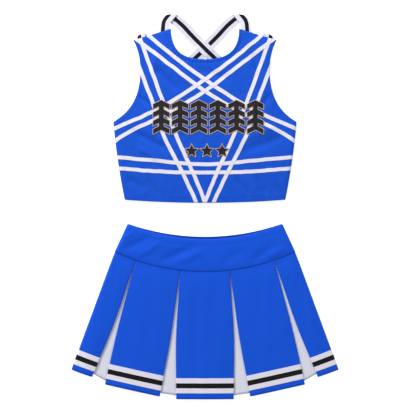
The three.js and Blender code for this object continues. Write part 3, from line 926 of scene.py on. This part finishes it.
def add_yokes():
    for layer in ("front", "back"):
        points = yoke_points(layer)
        if layer == "back":
            points = points[:, ::-1]
        # The rows turned down inside the casing take the darker blue, painted shade for the inside of the
        # waist.
        piece = add_grid(f"{layer}_yoke.cloth", points, [BLUE_LOOK, SHADED_CASING_LOOK], "skirt", f"{layer}_yoke",
                         shown=lambda row, column: row >= YOKE_ROWS + 2)
        waist, seam, *_ = yoke_lines(layer, yoke_shares)
        area = area_within(np.vstack([seam, waist[::-1]])) + 2 * WAIST_HALF * CASING_DEPTH
        declare(piece, area)
    waist, seam, down, _ = yoke_lines("front", yoke_shares[3:-3])
    rows = [resampled(waist + down * CASING_STITCH, 3), resampled(seam - down * 2.5, 3)]
    add_stitches("yoke_stitches", rows, lambda p: yoke_height(p, "front"), BLUE_THREAD, "skirt")


def add_waist_elastic():
    """A closed ring: its front half and its back half meet at the sides."""
    halves = []
    for layer, inward in (("front", -1), ("back", 1)):
        waist, _, down, _ = yoke_lines(layer, yoke_shares[10:-10])
        rows = []
        for reach in np.linspace(2, 2 + ELASTIC_WIDTH, 7):
            flat = waist + down * reach
            rows.append(np.column_stack([flat, yoke_height(flat, layer) + inward * 1.2]))
        halves.append(np.array(rows))
    ring = np.concatenate([halves[0], halves[1][:, ::-1]], axis=1)[::-1]
    rows, columns = ring.shape[:2]
    uv = np.column_stack([np.tile(np.arange(columns) * 2.5, rows), np.repeat(np.arange(rows) * 4.0, columns)])
    faces = grid_faces(rows, columns, ring=True)
    piece = add_piece("waist_elastic.band", ring.reshape(-1, 3), faces, WAIST_LOOK, "skirt", ["waist_elastic"],
                      uv)
    thicken(piece, CLOTH)


# ---- Skirt: pleats ----

PANEL_FACE = {"front": YOKE_FACE["front"] - 1.25, "back": 0.9}
SKIRT_THICKNESS = PANEL_FACE["front"] - PANEL_FACE["back"]
PLEAT_RADIUS = 1.5
RETURN_WIDTH = 26.0
TUCK = 13.0
# Near the yoke a slit closes, the tucks beyond it stand clear, and the side's outline draws in.
SLIT_CLOSING, TUCK_CLEARANCE = 0.7, 1.6
SIDE_PINCH, SIDE_TUCK_PINCH = 0.5, 2.5
BLEND_LENGTH = 60.0
HEM_TO_TRIM, TRIM_WIDTH = 12.5, 31.5
INSET_LIFT, INSET_MARGIN = 7.0, 33.0
# An inset lies this far behind the panels' returns, and this much more near the hem.
INSET_GAP, INSET_HEM_GAP = 1.4, 0.3
OPEN_GAP = 34.0
# Between these distances from the middle line, at this height, lie the two points listed with an inner inset's
# two bodies.
INSET_BLEND_FROM, INSET_BLEND_TO, INSET_BLEND_Y = 58.0, 84.0, -300.0
HEM_HALF = -cad_bounds[0].y / MM

# Each edge runs from the hem up to the yoke seam; bulge is how far its middle stands out.
panel_edges = {
    "centre": {
        "inner": ((-60.5, -HEM_HALF), (-51.5, -138), -4.5),
        "outer": ((60.5, -HEM_HALF), (51.5, -138), 4.5),
    },
    "middle": {"inner": ((95, -400.5), (53.5, -140), -3.2), "outer": ((210, -375), (146, -120), 2.6)},
    "side": {"inner": ((237, -359.5), (148, -120), -4.0), "outer": ((281, -344), (190, -97), 0.0)},
}


class Panel:
    """One blue pleat panel: a face between two folded edges, with a return behind each."""

    def __init__(self, place, layer, side=1):
        self.place, self.layer, self.side = place, layer, side
        self.up = 1 if layer == "front" else -1
        self.edges = panel_edges[place]
        side_name = "left" if side > 0 else "right"
        self.name, self.body = {
            "centre": (f"{layer}_centre", "skirt"),
            "middle": (f"{layer}_{side_name}", f"{layer}_{side_name}_pleat"),
            "side": (f"side_{side_name}", f"{side_name}_side_pleat"),
        }[place]
        ends = [self.edge(which, np.array([0.0, 1.0])) for which in ("inner", "outer")]
        self.hem, self.seam = (ends[0][0] + ends[1][0]) / 2, (ends[0][1] + ends[1][1]) / 2
        self.length = np.linalg.norm(self.seam - self.hem)

    def edge(self, which, share):
        """Points on an edge, from 0 at the hem to 1 at the yoke seam and on under the yoke."""
        hem, seam, bulge = self.edges[which]
        hem, seam = np.array(hem, float), np.array(seam, float)
        along = (seam - hem) / np.linalg.norm(seam - hem)
        out = np.array([along[1], -along[0]])
        bend = bulge * np.sin(math.pi * np.clip(share, 0, 1)) ** 1.5
        if (self.place, which) == ("side", "outer"):
            bend -= SIDE_PINCH * smooth((share - 0.9) / 0.1) + SIDE_TUCK_PINCH * smooth((share - 1) / 0.03)
        else:
            closing = SLIT_CLOSING * smooth((share - 0.72) / 0.2) - TUCK_CLEARANCE * smooth((share - 1) / 0.03)
            bend += (-1 if which == "inner" else 1) * closing
        return hem + (seam - hem) * share[:, None] + out * bend[:, None]

    def widths(self):
        """The panel's face at its hem and at the yoke seam."""
        gaps = self.edge("outer", np.array([0.0, 1.0])) - self.edge("inner", np.array([0.0, 1.0]))
        return np.linalg.norm(gaps, axis=1)

    def columns(self, return_width, face_count):
        """Across the panel: share of the width, push in from that edge, depth, and which way a lift goes."""
        r = PLEAT_RADIUS
        turns = np.linspace(0, math.pi, 7)
        fold = [(r - r * math.sin(a), r - r * math.cos(a), -math.sin(a), -math.cos(a)) for a in turns]
        back = [(q, 2 * r, 0, 1) for q in np.linspace(r, return_width, 5)[1:]] if return_width > r else []
        edge = fold + back
        inner = [(0, push, depth, lean, sink) for push, depth, lean, sink in edge[::-1]]
        faces = [(f, r * (1 - 2 * f), 0, 0, -1) for f in np.linspace(0, 1, face_count)[1:-1]]
        if self.place != "side":
            return inner + faces + [(1, -push, depth, -lean, sink) for push, depth, lean, sink in edge]
        bend = SKIRT_THICKNESS / 2
        half = [(f, r * (1 - f) - bend * f, 0, 0, -1) for f in np.linspace(0, 1, face_count)[1:-1]]
        around = [(1, -bend + bend * math.sin(a), bend - bend * math.cos(a), math.sin(a), -math.cos(a))
                  for a in np.linspace(0, math.pi, 11)]
        under = [(f, push, SKIRT_THICKNESS, 0, 1) for f, push, *_ in half[::-1]]
        last = [(0, push, SKIRT_THICKNESS - depth, lean, -sink) for push, depth, lean, sink in edge]
        return inner + half + around + under + last

    def points(self, shares, lift=0.0, return_width=RETURN_WIDTH, face_count=18):
        """Rows across the panel at these shares of its length, lifted off its outer face."""
        first, last = self.edge("inner", shares), self.edge("outer", shares)
        wide = np.linalg.norm(last - first, axis=1, keepdims=True)
        across = (last - first) / wide
        rows = []
        for f, push, depth, lean, sink in self.columns(return_width, face_count):
            reach = np.sign(push) * np.minimum(abs(push), 0.38 * wide)
            flat = first + across * (wide * f + reach + lift * lean)
            z = PANEL_FACE[self.layer] - self.up * (depth + lift * sink)
            z = z + self.up * self.billow(flat, f, shares, depth)
            rows.append(np.column_stack([flat * (self.side, 1), z]))
        grid = np.array(rows).transpose(1, 0, 2)
        return grid[:, ::-1] if self.up * self.side < 0 else grid

    def billow(self, flat, f, shares, depth):
        """How far the cloth stands out from its level, so that it looks soft."""
        seed = 31 + 7 * len(self.place) + (3 if self.side < 0 else 0)
        fall = smooth((1 - shares) / 0.12)
        crown = math.sin(math.pi * f) * (0.8 + 1.2 * (1 - shares)) * fall
        soft = ripples(flat * (1, 0.22), seed, 46) + 0.36 * ripples(flat * (1, 0.25), seed + 1, 15)
        soft *= fall
        soft *= 1 - 0.6 * abs(2 * f - 1) ** 3
        dip = -0.5 * smooth((shares - 0.93) / 0.07) - 0.8 * smooth((shares - 1.03) / 0.015)
        if self.layer == "back":
            return -0.12 * crown - 0.3 * smooth((shares - 0.93) / 0.08)
        near_back = smooth(depth / SKIRT_THICKNESS) if self.place == "side" else 0
        return (crown + soft + dip) * (1 - near_back) + 0.35 * smooth((shares - 0.93) / 0.08) * near_back


def shares_up(panel, start, end, spacing):
    """Shares of a panel's length between two distances above its hem."""
    return np.linspace(start, end, max(2, round((end - start) / spacing) + 1)) / panel.length


def seam_blend(panel):
    """The skirt's body for the centre panel, and for the others the skirt's body, the pleat's body and two
    points a stretch apart down from the seam, in metres.
    """
    if panel.place == "centre":
        return "skirt"
    start = panel.seam * (panel.side, 1)
    down = (panel.hem - panel.seam) / panel.length * (panel.side, 1)
    end = start + down * BLEND_LENGTH
    return ("skirt", panel.body, (*(start * MM), 0), (*(end * MM), 0))


def all_panels():
    made = []
    for layer in ("front", "back"):
        made.append(Panel("centre", layer))
        made += [Panel("middle", layer, side) for side in (1, -1)]
    return made + [Panel("side", "front", side) for side in (1, -1)]


def add_panels():
    for panel in all_panels():
        points = panel.points(shares_up(panel, 0, panel.length + TUCK, 5))
        node = f"panel_{panel.name}"
        piece = add_grid(f"{node}.cloth", points, BLUE_LOOK, seam_blend(panel), node)
        faces = 2 if panel.place == "side" else 1
        hem_wide, seam_wide = [faces * wide + 2 * RETURN_WIDTH for wide in panel.widths()]
        long = panel.length + TUCK
        area = (hem_wide + seam_wide) / 2 * long
        declare(piece, area, [add_trim(panel)])


def add_trim(panel):
    """White, black and white stripes across the panel and round its folded edges."""
    stripe = TRIM_WIDTH / 3
    edges = [0, 0.4, stripe / 2, stripe, 1.5 * stripe, 2 * stripe, 2.5 * stripe, TRIM_WIDTH - 0.4, TRIM_WIDTH]
    rows = (HEM_TO_TRIM + np.array(edges)) / panel.length
    points = panel.points(rows, lift=RIBBON + 0.12, return_width=9)
    node = f"trim_{panel.name}"
    return add_grid(f"{node}.band", points, [TRIM_WHITE, TRIM_BLACK], panel.body, node, RIBBON,
                    lambda row, column: row in (3, 4))


def add_insets():
    for layer in ("front", "back"):
        for name, sign in (("left", 1), ("right", -1)):
            panels = [Panel(p, layer, sign) for p in ("centre", "middle", "side")]
            for where, first, second in (("inner", 0, 1), ("outer", 1, 2)):
                add_inset(f"inset_{layer}_{name}_{where}", panels[first], panels[second], where)


def add_inset(node, first, second, where):
    """The white cloth between two panels, which runs on behind both."""
    shares = shares_up(first, INSET_LIFT, first.length + TUCK - 5, 6)
    a, b = first.edge("outer", shares), second.edge("inner", shares)
    gap = np.linalg.norm(b - a, axis=1, keepdims=True)
    hems = [p.edge("outer", np.zeros(1))[0] - p.edge("inner", np.zeros(1))[0] for p in (first, second)]
    along_hem = [hem_line / np.linalg.norm(hem_line) for hem_line in hems]
    margin = INSET_MARGIN - 4 * smooth(shares)[:, None]
    behind = 2 * PLEAT_RADIUS + INSET_GAP + INSET_HEM_GAP * (1 - smooth((shares - 0.3) / 0.4))
    open_share = np.clip(gap[:, 0] / OPEN_GAP, 0, 1.2)
    columns = []
    hidden = np.linspace(1, 0, 7)[:-1]
    spots = [(0, -h) for h in hidden] + [(g, 0) for g in np.linspace(0, 1, 13)] + [(1, h) for h in hidden[::-1]]
    for g, h in spots:
        flat = a + (b - a) * g + along_hem[round(g)] * margin * h
        z = PANEL_FACE[first.layer] - first.up * behind
        z = z + first.up * (math.sin(math.pi * g) * 0.3 * open_share - 0.4 * smooth(shares))
        z = z + 0.12 * ripples(flat * (1, 0.2), 77, 14) * open_share
        columns.append(np.column_stack([flat * (first.side, 1), z]))
    grid = np.array(columns).transpose(1, 0, 2)
    if first.up * first.side < 0:
        grid = grid[:, ::-1]
    body = second.body
    if where == "inner":
        ends = [(x * first.side * MM, INSET_BLEND_Y * MM, 0) for x in (INSET_BLEND_FROM, INSET_BLEND_TO)]
        body = ("skirt", second.body, *ends)
    piece = add_grid(f"{node}.cloth", grid, PLEAT_LOOK, body, node)
    hem_wide, seam_wide = gap[0, 0] + 2 * INSET_MARGIN, gap[-1, 0] + 2 * INSET_MARGIN
    long = first.length + TUCK - INSET_LIFT
    declare(piece, (hem_wide + seam_wide) / 2 * long)


# ---- Stage ----


def add_stage():
    """The white floor, with some light of its own so that it shows pure white."""
    mesh = bpy.data.meshes.new("floor")
    reach = 10.0
    corners = [(-reach, -reach, 0), (reach, -reach, 0), (reach, reach, 0), (-reach, reach, 0)]
    mesh.from_pydata(corners, [], [(0, 1, 2, 3)])
    floor = bpy.data.objects.new("floor", mesh)
    bpy.context.scene.collection.objects.link(floor)
    look = bpy.data.materials.new("floor")
    look.use_nodes = True
    shader = look.node_tree.nodes["Principled BSDF"]
    shader.inputs["Base Color"].default_value = (0.95, 0.95, 0.95, 1)
    shader.inputs["Roughness"].default_value = 1.0
    shader.inputs["Specular IOR Level"].default_value = 0.0
    shader.inputs["Emission Color"].default_value = (1, 1, 1, 1)
    shader.inputs["Emission Strength"].default_value = 0.6
    mesh.materials.append(look)


def add_light(name, place, target, size, power):
    light = bpy.data.lights.new(name, "AREA")
    light.size = size
    light.energy = power
    lamp = bpy.data.objects.new(name, light)
    lamp.location = place
    aim = [t - p for t, p in zip(target, place)]
    lamp.rotation_euler = Vector(aim).to_track_quat("-Z", "Y").to_euler()
    bpy.context.scene.collection.objects.link(lamp)


def add_lights():
    world = bpy.data.worlds.new("studio")
    world.use_nodes = True
    world.node_tree.nodes["Background"].inputs["Color"].default_value = (1, 1, 1, 1)
    world.node_tree.nodes["Background"].inputs["Strength"].default_value = 0.42
    bpy.context.scene.world = world
    add_light("key", (-1.2, 2.25, 1.5), (0, 0, 0), 1.0, 92)
    add_light("fill", (1.4, -1.0, 2.4), (0, 0, 0), 2.0, 12)


def add_camera():
    """Straight above, far enough for the small perspective of a catalogue picture."""
    view_width, distance, cloth_height = 0.8736, 3.2, 0.01
    camera = bpy.data.cameras.new("camera")
    camera.sensor_width = 36
    camera.lens = camera.sensor_width * (distance - cloth_height) / view_width
    eye = bpy.data.objects.new("camera", camera)
    eye.location = (0.0063, -0.0047, distance)
    bpy.context.scene.collection.objects.link(eye)
    bpy.context.scene.camera = eye
    bpy.context.scene.view_settings.view_transform = "Standard"


add_camera()
add_lights()
add_stage()
top_front, sewn_on = add_top_panels()
sewn_on += add_ribbons()
add_straps()
sewn_on += add_appliques()
declare(top_front,
        area_within(front_loop), sewn_on)
add_yokes()
add_waist_elastic()
add_panels()
add_insets()
